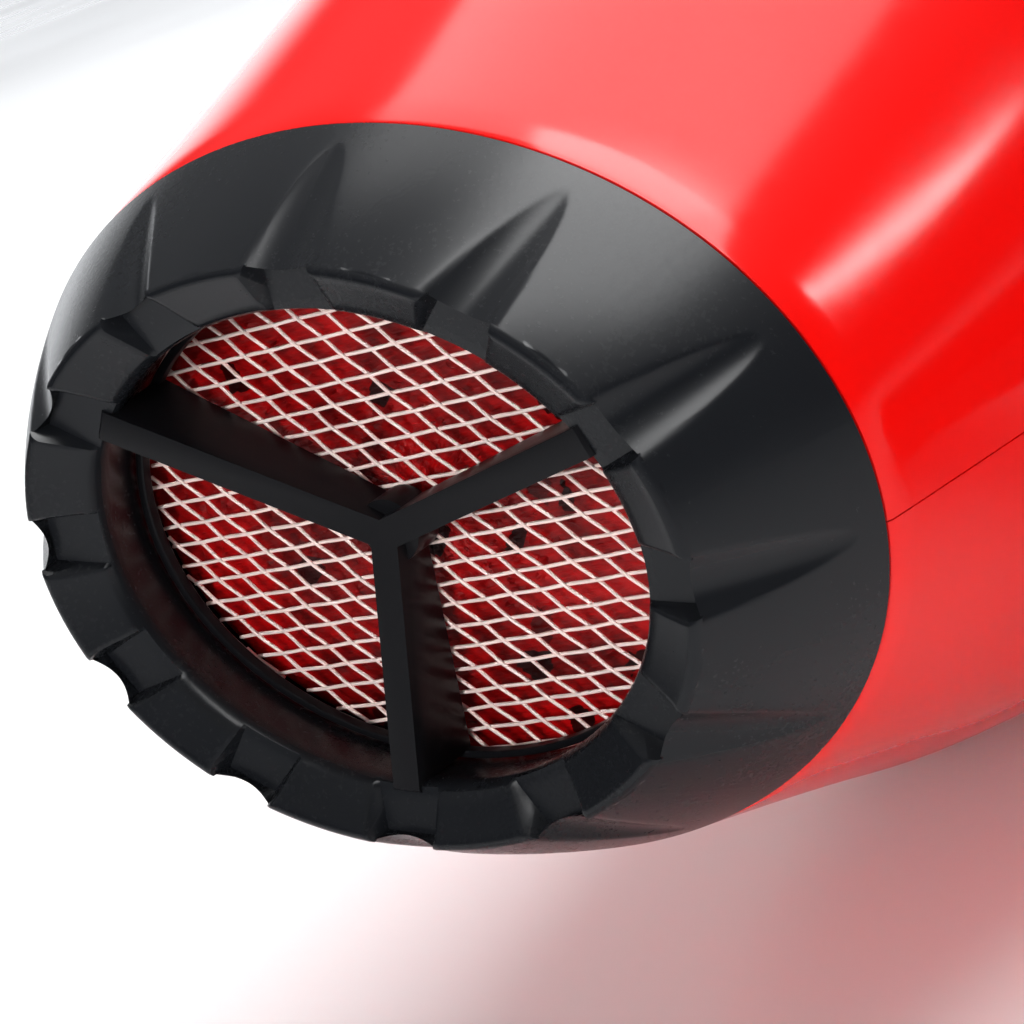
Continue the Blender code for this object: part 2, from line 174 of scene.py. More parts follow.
def spline(sections, samples):
    """Smooth curve through a few sections (Catmull-Rom on distance)."""
    data = np.array(sections, float)
    stations = data[:, 0]
    slopes = np.gradient(data[:, 1:], stations, axis=0)
    out = []
    for value in np.linspace(stations[0], stations[-1], samples):
        i = int(min(max(np.searchsorted(stations, value) - 1, 0), len(stations) - 2))
        span = stations[i + 1] - stations[i]
        t = (value - stations[i]) / span
        h00 = 2 * t ** 3 - 3 * t ** 2 + 1
        h10 = t ** 3 - 2 * t ** 2 + t
        h01 = -2 * t ** 3 + 3 * t ** 2
        h11 = t ** 3 - t ** 2
        shape = (h00 * data[i, 1:] + h10 * span * slopes[i]
                 + h01 * data[i + 1, 1:] + h11 * span * slopes[i + 1])
        out.append((value, *shape))
    return out


def oval_row(distance, half_x, half_y, power, axis, offset, steps):
    row = []
    for index in range(steps):
        angle = 2 * math.pi * index / steps
        c = math.cos(angle)
        s = math.sin(angle)
        a = half_x * math.copysign(abs(c) ** (2 / power), c)
        b = half_y * math.copysign(abs(s) ** (2 / power), s)
        point = (a, distance, b) if axis == "Y" else (distance, b, a)
        row.append([point[k] + offset[k] for k in range(3)])
    return row


def lofted(bm, sections, axis="Y", offset=(0, 0, 0), steps=128):
    rows = []
    for section in sections:
        power = section[3] if len(section) > 3 else 2.0
        rows.append(oval_row(section[0], section[1], section[2], power, axis, offset, steps))
    made = grid_mesh(bm, rows, wrap_rows=False)
    bm.faces.new(made[0])
    bm.faces.new(made[-1])
    bmesh.ops.recalc_face_normals(bm, faces=bm.faces)


def temp_object(name, bm):
    mesh = bpy.data.meshes.new(name)
    bmesh.ops.recalc_face_normals(bm, faces=bm.faces)
    bm.to_mesh(mesh)
    bm.free()
    obj = bpy.data.objects.new(name, mesh)
    bpy.context.scene.collection.objects.link(obj)
    return obj


def temp_box(name, size, centre, turn=(0, 0, 0)):
    bm = bmesh.new()
    bmesh.ops.create_cube(bm, size=1.0)
    bmesh.ops.scale(bm, vec=size, verts=bm.verts)
    for axis, degrees in zip("XYZ", turn):
        bmesh.ops.rotate(bm, verts=bm.verts, matrix=Matrix.Rotation(math.radians(degrees), 3, axis))
    bmesh.ops.translate(bm, vec=centre, verts=bm.verts)
    return temp_object(name, bm)


def temp_rod(name, radius, length, centre, axis, segments=48, end_radius=None):
    bm = bmesh.new()
    tip = radius if end_radius is None else end_radius
    bmesh.ops.create_cone(bm, cap_ends=True, segments=segments, radius1=radius, radius2=tip,
                          depth=length)
    aim = Vector(axis).to_track_quat("Z", "Y").to_matrix().to_4x4()
    bmesh.ops.transform(bm, matrix=Matrix.Translation(centre) @ aim, verts=bm.verts)
    return temp_object(name, bm)


def carve(obj, steps, bevel=None):
    """Apply Booleans [(operation, tool)] and an optional edge bevel; tools are removed."""
    for operation, tool in steps:
        modifier = obj.modifiers.new(operation, "BOOLEAN")
        modifier.operation = operation
        modifier.solver = "EXACT"
        modifier.object = tool
    if bevel is not None:
        modifier = obj.modifiers.new("bevel", "BEVEL")
        modifier.width = bevel[0]
        modifier.segments = bevel[1]
        modifier.limit_method = "ANGLE"
        modifier.angle_limit = math.radians(bevel[2] if len(bevel) > 2 else 40)
        modifier.harden_normals = False
    depsgraph = bpy.context.evaluated_depsgraph_get()
    mesh = bpy.data.meshes.new_from_object(obj.evaluated_get(depsgraph))
    for tool in {tool for _, tool in steps} | {obj}:
        bpy.data.objects.remove(tool, do_unlink=True)
    return mesh


def round_curve(name, radius, resolution):
    """Empty curve with a round section of the given radius in millimetres."""
    curve = bpy.data.curves.new(name, "CURVE")
    curve.dimensions = "3D"
    curve.bevel_depth = radius * MM
    curve.bevel_resolution = resolution
    curve.use_fill_caps = True
    return curve


def add_run(curve, points):
    line = curve.splines.new("POLY")
    line.points.add(len(points) - 1)
    for item, place in zip(line.points, points):
        item.co = (*(TO_ROW @ Vector(place)), 1.0)


def curve_piece(name, curve, material):
    """Turn a curve into one smooth mesh piece."""
    holder = bpy.data.objects.new(name + "_curve", curve)
    bpy.context.scene.collection.objects.link(holder)
    depsgraph = bpy.context.evaluated_depsgraph_get()
    mesh = bpy.data.meshes.new_from_object(holder.evaluated_get(depsgraph))
    bpy.data.objects.remove(holder)
    mesh.materials.clear()
    mesh.materials.append(material)
    mesh.polygons.foreach_set("use_smooth", [True] * len(mesh.polygons))
    piece = bpy.data.objects.new(name, mesh)
    bpy.context.scene.collection.objects.link(piece)
    return piece


def prism(name, sides):
    """Closed solid between two matching loops of points."""
    bm = bmesh.new()
    loops = []
    for side in sides:
        loop = [bm.verts.new(point) for point in side]
        bm.faces.new(loop)
        loops.append(loop)
    count = len(loops[0])
    for i in range(count):
        k = (i + 1) % count
        bm.faces.new((loops[0][i], loops[0][k], loops[1][k], loops[1][i]))
    return temp_object(name, bm)


def stand_in(piece, node, body):
    """Let a visual piece stand in for a CAD node and move with a body."""
    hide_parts(node)
    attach(piece, body)


# ---- materials -------------------------------------------------------------------------------
def new_material(name):
    material = bpy.data.materials.new(name)
    material.use_nodes = True
    tree = material.node_tree
    return material, tree.nodes, tree.links, tree.nodes["Principled BSDF"]


def position(nodes, links, scale):
    place = nodes.new("ShaderNodeTexCoord")
    mapping = nodes.new("ShaderNodeMapping")
    mapping.inputs["Scale"].default_value = scale
    links.new(place.outputs["Object"], mapping.inputs["Vector"])
    return mapping.outputs["Vector"]


def noise(nodes, links, vector, scale, detail=4.0, rough=0.55):
    texture = nodes.new("ShaderNodeTexNoise")
    texture.inputs["Scale"].default_value = scale
    texture.inputs["Detail"].default_value = detail
    texture.inputs["Roughness"].default_value = rough
    links.new(vector, texture.inputs["Vector"])
    return texture.outputs["Fac"]


def remap(nodes, links, value, low, high, from_low=0.3, from_high=0.7):
    ramp = nodes.new("ShaderNodeMapRange")
    ramp.inputs["From Min"].default_value = from_low
    ramp.inputs["From Max"].default_value = from_high
    ramp.inputs["To Min"].default_value = low
    ramp.inputs["To Max"].default_value = high
    links.new(value, ramp.inputs["Value"])
    return ramp.outputs["Result"]


def mix_colour(nodes, links, factor, first, second):
    mix = nodes.new("ShaderNodeMix")
    mix.data_type = "RGBA"
    mix.inputs["A"].default_value = (*first, 1.0)
    mix.inputs["B"].default_value = (*second, 1.0)
    links.new(factor, mix.inputs["Factor"])
    return mix.outputs["Result"]


def add_bump(nodes, links, shader, height, strength, distance):
    bump = nodes.new("ShaderNodeBump")
    bump.inputs["Strength"].default_value = strength
    bump.inputs["Distance"].default_value = distance
    links.new(height, bump.inputs["Height"])
    links.new(bump.outputs["Normal"], shader.inputs["Normal"])


def moulded(name, colour, other, rough, texture_scale, bump, coat=0.0, specular=0.5,
            scratches=0.0):
    """Moulded plastic: slow colour drift, fine mould grain, faint hairline scratches."""
    material, nodes, links, shader = new_material(name)
    vector = position(nodes, links, (1, 1, 1))
    drift = noise(nodes, links, vector, 18.0, 3.0)
    links.new(mix_colour(nodes, links, drift, colour, other), shader.inputs["Base Color"])
    grain = noise(nodes, links, vector, texture_scale, 5.0, 0.65)
    smudge = noise(nodes, links, vector, 60.0, 6.0, 0.6)
    mixed = nodes.new("ShaderNodeMath")
    mixed.operation = "MULTIPLY_ADD"
    mixed.inputs[1].default_value = 0.5
    links.new(grain, mixed.inputs[0])
    half = nodes.new("ShaderNodeMath")
    half.operation = "MULTIPLY"
    half.inputs[1].default_value = 0.5
    links.new(smudge, half.inputs[0])
    links.new(half.outputs["Value"], mixed.inputs[2])
    links.new(remap(nodes, links, mixed.outputs["Value"], rough[0], rough[1]),
              shader.inputs["Roughness"])
    height = grain
    if scratches > 0.0:
        stretched = position(nodes, links, (900.0, 60.0, 900.0))
        lines = noise(nodes, links, stretched, 1.0, 2.0, 0.4)
        cut = remap(nodes, links, lines, 0.0, scratches, 0.70, 0.74)
        total = nodes.new("ShaderNodeMath")
        total.operation = "SUBTRACT"
        links.new(grain, total.inputs[0])
        links.new(cut, total.inputs[1])
        height = total.outputs["Value"]
    add_bump(nodes, links, shader, height, bump, 0.0002)
    shader.inputs["Coat Weight"].default_value = coat
    shader.inputs["Coat Roughness"].default_value = 0.04
    shader.inputs["Specular IOR Level"].default_value = specular
    return material


def metal(name, colour, other, rough, along=(200.0, 200.0, 2500.0), bump=0.08,
          metallic=1.0):
    """Drawn or brushed metal: stretched streaks in roughness, tint and height."""
    material, nodes, links, shader = new_material(name)
    vector = position(nodes, links, along)
    streaks = noise(nodes, links, vector, 1.0, 3.0, 0.6)
    spots = noise(nodes, links, position(nodes, links, (1, 1, 1)), 300.0, 4.0)
    links.new(mix_colour(nodes, links, spots, colour, other), shader.inputs["Base Color"])
    links.new(remap(nodes, links, streaks, rough[0], rough[1]), shader.inputs["Roughness"])
    add_bump(nodes, links, shader, streaks, bump, 0.0001)
    shader.inputs["Metallic"].default_value = metallic
    return material


def foam_material():
    """Fine open-cell foam: smooth deep red with faint streaks, and a few cells painted near black
    as painted shade for the dark insides of open pores.
    """
    material, nodes, links, shader = new_material("red_foam_cells")
    vector = position(nodes, links, (1, 1, 1))
    patches = noise(nodes, links, vector, 140.0, 3.0, 0.6)
    streaks = noise(nodes, links, position(nodes, links, (900.0, 900.0, 4200.0)), 1.0, 3.0, 0.6)
    total = nodes.new("ShaderNodeMath")
    total.operation = "MULTIPLY"
    links.new(remap(nodes, links, patches, 0.35, 1.6, 0.38, 0.72), total.inputs[0])
    links.new(remap(nodes, links, streaks, 0.55, 1.0), total.inputs[1])
    cells = nodes.new("ShaderNodeTexVoronoi")
    cells.inputs["Scale"].default_value = 500.0
    links.new(vector, cells.inputs["Vector"])
    split = nodes.new("ShaderNodeSeparateColor")
    links.new(cells.outputs["Color"], split.inputs["Color"])
    # Cells whose random value falls under the threshold go near black: painted shade for the dark
    # insides of open pores, with no holes in the geometry.
    painted_pore_shade = remap(nodes, links, split.outputs["Red"], 0.02, 1.0, 0.03, 0.06)
    shade = nodes.new("ShaderNodeMath")
    shade.operation = "MULTIPLY"
    links.new(total.outputs["Value"], shade.inputs[0])
    links.new(painted_pore_shade, shade.inputs[1])
    # The near-black end of this mix is reached through the painted pore shade.
    links.new(mix_colour(nodes, links, shade.outputs["Value"], (0.010, 0.0, 0.0),
                         (0.40, 0.002, 0.003)), shader.inputs["Base Color"])
    links.new(remap(nodes, links, patches, 0.50, 0.34), shader.inputs["Roughness"])
    add_bump(nodes, links, shader, streaks, 0.5, 0.0003)
    return material


def floor_material():
    """Plain pale tabletop, softly glossy, with the faintest unevenness."""
    material, nodes, links, shader = new_material("pale_floor")
    vector = position(nodes, links, (1, 1, 1))
    drift = noise(nodes, links, vector, 3.0, 2.0)
    links.new(mix_colour(nodes, links, drift, (0.86, 0.86, 0.87), (0.89, 0.89, 0.89)),
              shader.inputs["Base Color"])
    links.new(remap(nodes, links, drift, 0.26, 0.32), shader.inputs["Roughness"])
    shader.inputs["Specular IOR Level"].default_value = 0.35
    return material


MAT = {
    "red": moulded("red_gloss_shell", (0.86, 0.004, 0.003), (0.78, 0.003, 0.002),
                   (0.10, 0.16), 900.0, 0.015, specular=0.24, scratches=0.03),
    "black": moulded("black_satin_ring", (0.006, 0.0065, 0.008), (0.010, 0.011, 0.013),
                     (0.22, 0.30), 2600.0, 0.03, specular=0.20, scratches=0.02),
    "black_deep": moulded("black_deep_grille", (0.004, 0.004, 0.005), (0.007, 0.007, 0.008),
                          (0.30, 0.42), 1800.0, 0.02, specular=0.12, scratches=0.02),
    "black_gloss": moulded("black_gloss_trim", (0.006, 0.006, 0.007), (0.010, 0.010, 0.012),
                           (0.12, 0.20), 1500.0, 0.03, coat=0.5, scratches=0.08),
    "black_matte": moulded("black_matte_plastic", (0.018, 0.018, 0.019), (0.030, 0.030, 0.032),
                           (0.48, 0.62), 2200.0, 0.25),
    "wire": metal("copper_wire", (1.0, 0.86, 0.82), (1.0, 0.72, 0.66), (0.26, 0.38),
                  metallic=0.25),
    "steel": metal("drawn_steel", (0.56, 0.56, 0.57), (0.46, 0.46, 0.48), (0.24, 0.40)),
    "brass": metal("sintered_brass", (0.72, 0.52, 0.24), (0.58, 0.40, 0.16), (0.30, 0.45)),
    "foam": foam_material(),
    "mica": moulded("pressed_mica", (0.60, 0.53, 0.40), (0.46, 0.38, 0.26), (0.45, 0.70),
                    700.0, 0.35),
    "white": moulded("white_plastic", (0.78, 0.78, 0.76), (0.70, 0.70, 0.67), (0.35, 0.48),
                     1400.0, 0.10),
    "board": moulded("board_green", (0.02, 0.15, 0.05), (0.03, 0.20, 0.08), (0.35, 0.50),
                     800.0, 0.20),
    "rubber": moulded("soft_rubber", (0.014, 0.014, 0.014), (0.024, 0.024, 0.025),
                      (0.62, 0.80), 1800.0, 0.30),
}


# ---- intake ring -----------------------------------------------------------------------------
BARREL_RADIUS = 46.4
JUNCTION = (34.25, 8.8)
INNER_EDGE = 22.0
FACET_END = 26.2
CONE_START = Vector((26.77, -1.96))
CROWN = 0.30
FLUTE_DEPTH = 1.0
FLUTE_HALF = 2.75
FLUTE_END = 0.84
FLUTE_SOFT = 0.06
CORNER = 0.5
BORE_WALL = ((23.3, 6.7), (22.9, 5.0), (22.4, 3.0), (22.0, 1.5), (21.8, 0.7))
NOTCH_HALF = 2.42
NOTCH_TAPER = 0.36
WALL_LEAN = 0.10
CORNER_DROP = 0.30
RING_SEAT = [(34.0, 8.95), (31.0, 8.95), (31.0, 15.0), (27.2, 15.0), (25.2, 15.0), (25.2, 6.7)]


def cone_point(t):
    """Slightly crowned cone from the rim crest (t=0) to the red housing (t=1)."""
    end = Vector(JUNCTION)
    normal = Vector((end.y - CONE_START.y, CONE_START.x - end.x)).normalized()
    return CONE_START.lerp(end, t) + normal * (4 * t * (1 - t) * CROWN), normal


def flute_sink(offset, t):
    """Depth of a flute under the cone, at a sideways offset and a station up the cone."""
    fade = 1.0 - max(t, 0.0) / FLUTE_END
    if fade <= 0.0:
        return 0.0
    half = FLUTE_HALF * fade ** 0.48
    bowl = 1.0 - (offset / half) ** 2
    bowl = 0.5 * (bowl + math.sqrt(bowl * bowl + FLUTE_SOFT))
    return FLUTE_DEPTH * fade ** 0.85 * bowl


def ring_rows():
    """(block outline, notch outline, notch half width, cone station) per row."""
    rows = [(point, point, NOTCH_HALF, None) for point in BORE_WALL]
    rows.append(((21.85, 0.30), (21.85, 0.30), NOTCH_HALF, None))
    rows.append(((22.0, 0.00), (22.0, 0.03), NOTCH_HALF, None))
    rows.append(((22.15, -0.34), (22.3, -0.02), 2.41, None))
    rows.append(((22.4, -0.58), (22.5, -0.06), 2.40, None))
    band = [(23.2, -0.97), (24.2, -1.46), (25.2, -1.94)]
    crest = arc_points((26.11, -1.5), 0.8, -117.0, -35.0, 9)
    upper = band + crest
    for index, point in enumerate(upper):
        t = (index + 1) / len(upper)
        radius = 22.5 + (FACET_END - 22.5) * t
        facet = (radius, -0.62 * (radius - 22.0) / (FACET_END - 22.0))
        rows.append((point, facet, 2.40 - NOTCH_TAPER * t, None))
    for index in range(46):
        t = (index / 45) ** 1.1
        point = tuple(cone_point(t)[0])
        rows.append((point, point, 2.04 + 0.5 * t, t))
    rows += [(point, point, 2.5, None) for point in RING_SEAT]
    return rows


def ring_columns():
    """(inside the notch, position) of the columns across one sector."""
    left = [(False, -(1.0 - (i / 15) ** 0.8)) for i in range(15)]
    inside = [(True, v) for v in np.linspace(-1.0, 1.0, 31)]
    right = [(False, (1.0 - ((14 - i) / 15) ** 0.8)) for i in range(15)]
    return left + inside + right


def ring_point(row, middle, sector, inside, value):
    block, notch, half, station = row
    radius, distance = notch if inside else block
    half_angle = half / notch[0]
    if inside:
        angle = middle + value * half_angle
    else:
        wall = half_angle + WALL_LEAN / notch[0]
        edge = sector / 2 - wall
        angle = middle + (edge * (1.0 + value) - sector / 2 if value < 0 else wall + edge * value)
        near = (abs(angle - middle) - wall) * radius
        if station is None and near < CORNER and block != notch:
            ease = 1.0 - near / CORNER
            distance += CORNER_DROP * ease * ease * min(1.0, abs(block[1] - notch[1]))
    if station is not None:
        normal = cone_point(station)[1]
        sink = flute_sink((angle - middle) * radius, station)
        radius -= normal.x * sink
        distance -= normal.y * sink
    return radius * math.cos(angle), distance, radius * math.sin(angle) * OVAL


def build_ring():
    sector = 2 * math.pi / NOTCHES
    columns = ring_columns()
    points = [[ring_point(row, number * sector, sector, inside, value)
               for number in range(NOTCHES) for inside, value in columns]
              for row in ring_rows()]
    bm = bmesh.new()
    grid_mesh(bm, points)
    ring = finish_mesh("ring_skin", bm, MAT["black"], 38.0)
    stand_in(ring, "intake_ring", "intake_cap")


# ---- Y grille --------------------------------------------------------------------------------
def spoke_tool(index, width, outline):
    angle = math.radians(index * 360.0 / NOTCHES)
    tip = Vector((math.cos(angle), 0, math.sin(angle) * OVAL))
    length = tip.length
    along = tip.normalized()
    across = Vector((-along.z, 0, along.x))
    sides = [[along * (x * length) + Vector((0, y, 0)) + across * (width * side)
              for x, y in outline] for side in (-0.5, 0.5)]
    return prism("spoke_%d" % index, sides)


def build_grille():
    outline = [(-0.7, 3.05), (0.0, 3.0), (22.2, -0.35), (22.5, -0.1), (22.4, 0.6), (21.9, 1.0),
               (22.3, 6.3), (-0.7, 6.3)]
    tools = [spoke_tool(index, 2.15, outline) for index in SPOKE_NOTCHES]
    hub = temp_rod("hub", 2.3, 2.6, (0, 5.1, 0), (0, 1, 0), 36)
    mesh = carve(tools[0], [("UNION", tools[1]), ("UNION", tools[2]), ("UNION", hub)],
                 bevel=(0.28, 3, 30))
    grille = link_mesh("grille_skin", mesh, MAT["black_deep"], 35.0)
    rim = turned("grille_rim_skin", [(22.8, 5.4), (22.8, 6.35), (22.1, 6.35), (22.1, 5.4)],
                 MAT["black_deep"], 144, oval=OVAL, soft=0.2)
    for piece in (grille, rim):
        stand_in(piece, "spoke_grille", "intake_cap")


# ---- woven screen ----------------------------------------------------------------------------
SCREEN_Y = 7.25
WIRE = 0.145
LATTICE = (Vector((1.595, -1.253)), Vector((2.299, 0.479)))
LATTICE_ORIGIN = Vector((-9.28, 11.54))
SCREEN_HALF = 23.2
WIRE_RUNS = range(-26, 34)
STEPS_PER_CELL = 4
REACH = 34 * STEPS_PER_CELL
WEAVE_LIFT = 0.55
FOAM_FRONT = 8.5


def build_screen():
    """Plain weave: the wires dip a little under and over each other where they cross."""
    rng = np.random.default_rng(7)
    curve = round_curve("woven_screen", WIRE, 2)
    families = ((LATTICE[0], LATTICE[1], 0), (LATTICE[1], LATTICE[0], 1))
    for along, across, family in families:
        for number in WIRE_RUNS:
            base = LATTICE_ORIGIN + across * number
            drift = rng.normal(0.0, 0.10)
            run = []
            for step in range(-REACH, REACH + 1):
                station = step / STEPS_PER_CELL
                spot = base + along * station + across.normalized() * drift
                inside = (spot.x / SCREEN_HALF) ** 2 + (spot.y / (SCREEN_HALF * OVAL)) ** 2
                if inside > 1.0:
                    continue
                phase = math.pi * (station + number + family)
                lift = math.cos(phase) * WIRE * WEAVE_LIFT
                dome = 0.5 * (inside - 1.0)
                run.append((spot.x, SCREEN_Y + lift + dome, spot.y))
            if len(run) < 3:
                continue
            add_run(curve, run)
    screen = curve_piece("woven_screen", curve, MAT["wire"])
    hem = turned("screen_hem", [(24.6, 6.9), (24.6, 7.5), (23.4, 7.5), (23.4, 6.9)],
                 MAT["wire"], 144, oval=OVAL, soft=0.15)
    for piece in (screen, hem):
        stand_in(piece, "wire_mesh", "intake_cap")


def build_foam():
    """Foam disc with a pitted front face."""
    rings = 90
    steps = 220
    rng = np.random.default_rng(3)
    depth = rng.normal(0.0, 0.10, (rings, steps))
    rows = []
    for i in range(rings):
        radius = 24.3 * (i + 0.3) / rings
        row = []
        for j in range(steps):
            angle = 2 * math.pi * j / steps
            y = FOAM_FRONT + (depth[i, j] if i < rings - 2 else 0.0)
            row.append((radius * math.cos(angle), y, radius * math.sin(angle) * OVAL))
        rows.append(row)
    for radius, y in ((24.5, 8.8), (24.5, 11.1), (24.2, 11.5), (10.0, 11.5), (0.1, 11.5)):
        rows.append([(radius * math.cos(2 * math.pi * j / steps), y,
                      radius * math.sin(2 * math.pi * j / steps) * OVAL) for j in range(steps)])
    bm = bmesh.new()
    made = grid_mesh(bm, rows, wrap_rows=False)
    bm.faces.new(made[0])
    bm.faces.new(made[-1])
    foam = finish_mesh("foam_disc", bm, MAT["foam"], 60.0)
    stand_in(foam, "foam_filter", "intake_cap")


# ---- housing ---------------------------------------------------------------------------------
BARREL = ((9.1, 34.3, 26.8), (20.0, 36.3, 30.5), (31.0, 38.2, 34.4), (42.0, 40.0, 38.4),
          (53.0, 41.8, 41.4), (64.0, 43.6, 43.6), (76.0, 45.3, 45.3), (90.0, 46.4, 46.4),
          (114.0, 46.4, 46.4), (130.0, 45.6, 45.6), (148.0, 43.4, 43.4), (164.0, 40.2, 40.2),
          (178.0, 36.4, 36.4), (186.0, 34.2, 34.2))
HANDLE = ((28.0, 20.3, 25.6), (40.0, 19.3, 23.6), (50.0, 18.5, 22.0), (70.0, 17.6, 19.8),
          (110.0, 17.2, 19.0), (140.0, 18.0, 20.0), (150.0, 17.0, 19.0))
SCREWS = ((64.0, 80.0), (100.0, 80.0), (138.0, 80.0))
BARREL_ENDS = (7.0, 190.0)
LIP = 0.45
LIP_BULGE = 0.06
SWITCH_Y = 106.0
SPEED_X = 72.0
HEAT_X = 91.0
BUTTON_X = 109.0


def barrel_sections(grow, samples=70):
    """Outline of the barrel; a negative growth gives the hollow, run out past both ends."""
    sections = spline(BARREL, samples)
    out = []
    for y, a, b in sections:
        out.append((y, min(a, BARREL_RADIUS) + grow, min(b, BARREL_RADIUS) + grow))
    if grow >= 0.0:
        first = out[0]
        out[0] = (first[0] + LIP, first[1] + LIP_BULGE, first[2] + LIP_BULGE)
        out.insert(0, (first[0] + 0.13, first[1] - 0.14, first[2] - 0.14))
        out.insert(0, (first[0], first[1] - LIP, first[2] - LIP))
    else:
        out.insert(0, (BARREL_ENDS[0], out[0][1] - 0.3, out[0][2] - 0.3))
        out.append((BARREL_ENDS[1], out[-1][1] - 0.3, out[-1][2] - 0.3))
    return out


def handle_sections(grow, end, samples=40):
    sections = [(x, a + grow, b + grow) for x, a, b in spline(HANDLE, samples)]
    if grow < 0.0:
        sections.append((end, sections[-1][1], sections[-1][2]))
    else:
        last = sections[-1]
        sections[-1] = (last[0] - 0.5, last[1], last[2])
        sections.append((last[0] - 0.12, last[1] - 0.12, last[2] - 0.12))
        sections.append((last[0], last[1] - 0.5, last[2] - 0.5))
    return sections


def build_housing_half(name, node, side):
    bm = bmesh.new()
    lofted(bm, barrel_sections(0.0), steps=224)
    shell = temp_object(name, bm)
    tools = []
    bm = bmesh.new()
    lofted(bm, handle_sections(0.0, 150.0), axis="X", offset=(0, HANDLE_Y, 0), steps=112)
    tools.append(("UNION", temp_object("grip", bm)))
    bm = bmesh.new()
    lofted(bm, barrel_sections(-WALL, 40), steps=160)
    tools.append(("DIFFERENCE", temp_object("barrel_hollow", bm)))
    bm = bmesh.new()
    lofted(bm, handle_sections(-2.2, 155.0, 24), axis="X", offset=(0, HANDLE_Y, 0), steps=96)
    tools.append(("DIFFERENCE", temp_object("grip_hollow", bm)))
    tools.append(("DIFFERENCE", temp_box("away", (520, 520, 200), (60, 90, side * -99.95))))
    tools.append(("DIFFERENCE", temp_box("window", (56.6, 14.0, 13.6), (90.0, SWITCH_Y, 0))))
    if side < 0:
        for x, y in SCREWS:
            tools.append(("DIFFERENCE", temp_rod("sink", 3.3, 20.0, (x, y, -15.0), (0, 0, 1))))
    mesh = carve(shell, tools)
    piece = link_mesh(name, mesh, MAT["red"], 32.0)
    stand_in(piece, node, "housing")


# ---- trim, nozzle and handle fittings --------------------------------------------------------
def build_outlet():
    sleeve = [(31.8, 170.0), (31.8, 198.0), (30.2, 198.0), (30.2, 170.0)]
    stand_in(turned("outlet_sleeve_skin", sleeve, MAT["black_matte"], 160, soft=0.5),
             "outlet_sleeve", "housing")
    collar = [(34.6, 187.2), (35.4, 188.0), (35.4, 198.6), (34.8, 199.2), (32.2, 199.2),
              (32.2, 187.2)]
    stand_in(turned("nozzle_collar_skin", collar, MAT["black_gloss"], 160, soft=0.4),
             "nozzle_collar", "nozzle_collar_body")
    outside = spline(((12.3, 34.6, 34.6, 2.0), (16.0, 34.7, 33.6, 2.0), (27.0, 35.2, 25.0, 2.3),
                      (40.0, 36.6, 12.5, 3.0), (54.0, 37.6, 7.0, 4.0)), 40)
    hollow = spline(((11.0, 32.6, 32.6, 2.0), (16.0, 32.8, 31.6, 2.0), (27.0, 33.3, 23.1, 2.3),
                     (40.0, 34.9, 10.8, 3.0), (56.0, 36.1, 5.4, 4.0)), 40)
    bm = bmesh.new()
    lofted(bm, outside, offset=(0, 187.2, 0), steps=160)
    nozzle = temp_object("nozzle", bm)
    bm = bmesh.new()
    lofted(bm, hollow, offset=(0, 187.2, 0), steps=160)
    mesh = carve(nozzle, [("DIFFERENCE", temp_object("nozzle_hollow", bm))], bevel=(0.3, 3, 50))
    stand_in(link_mesh("nozzle_skin", mesh, MAT["black_gloss"], 40.0), "concentrator_nozzle",
             "nozzle_body")


def build_rocker(name, x, node, body):
    outline = [(-7.4, 3.4), (-3.7, 2.6), (0.0, 2.3), (3.7, 2.6), (7.4, 3.4), (7.4, -1.4),
               (2.2, -3.0), (-2.2, -3.0), (-7.4, -1.4)]
    rocker = prism(name, [[(x + u, SWITCH_Y + v, z) for u, v in outline] for z in (-4.4, 4.4)])
    steps = []
    for offset in (-4.6, -3.6, -2.6, 2.6, 3.6, 4.6):
        steps.append(("DIFFERENCE", temp_box("groove", (0.35, 1.2, 6.0),
                                             (x + offset, 109.2, 0))))
    mesh = carve(rocker, steps, bevel=(0.3, 3, 30))
    stand_in(link_mesh(name, mesh, MAT["black_gloss"], 40.0), node, body)


